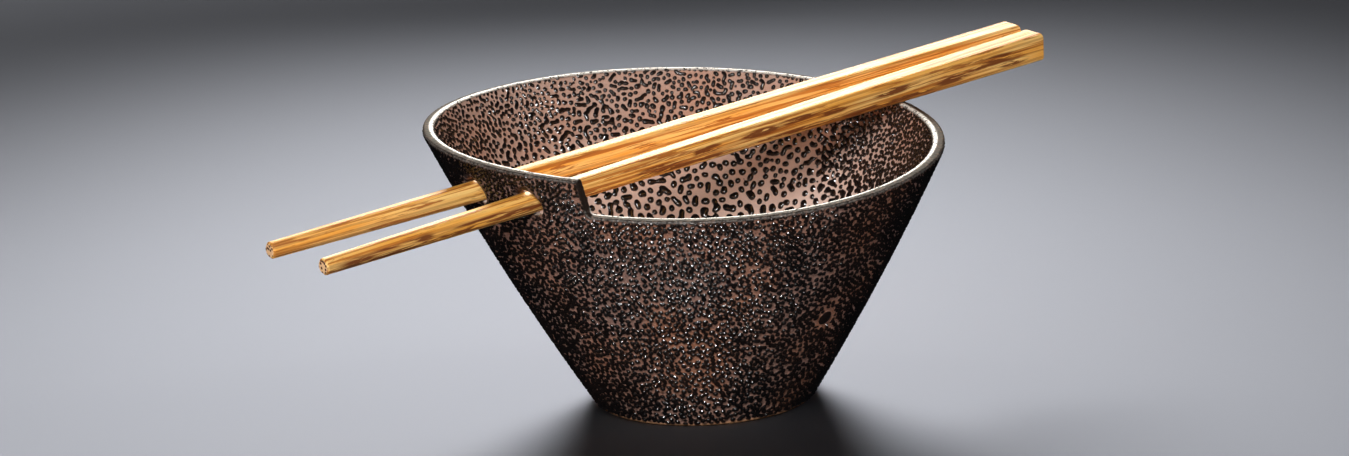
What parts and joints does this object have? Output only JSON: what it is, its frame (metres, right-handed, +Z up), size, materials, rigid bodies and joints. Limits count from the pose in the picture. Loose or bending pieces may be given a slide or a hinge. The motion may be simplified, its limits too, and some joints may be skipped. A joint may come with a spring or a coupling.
{
  "type": "rice bowl",
  "caption": "Conical ceramic rice bowl with a spiral, stepped rim and holes through its wall, which hold a pair of chopsticks laid across its mouth.",
  "frame": {"origin": "centre of the foot's underside, on the surface that the bowl stands on", "axes": "+Z up; +X the level direction in which the chopsticks are drawn out, from their tips to their handles; +Y completes a right-handed frame, to the left of +X seen from above"},
  "size_m": [0.2399, 0.1323, 0.0807],
  "materials": {
    "beaded_glaze": "glossy near-black glaze drawn up into raised beads on matt red-brown clay",
    "bamboo": "smooth sanded bamboo with a fine straight fibre and a thin clear oil"
  },
  "bodies": {
    "bowl": {"bowl": "beaded_glaze"},
    "front_chopstick": {"front_chopstick": "bamboo"},
    "back_chopstick": {"back_chopstick": "bamboo"}
  },
  "joints": [
    {"name": "front_draw", "type": "slide", "parent": "bowl", "child": "front_chopstick", "axis": [0.9988, 0, 0.0489], "range_m": [0, 0.2]},
    {"name": "back_draw", "type": "slide", "parent": "bowl", "child": "back_chopstick", "axis": [0.9985, 0, 0.0541], "range_m": [0, 0.2]}
  ]
}
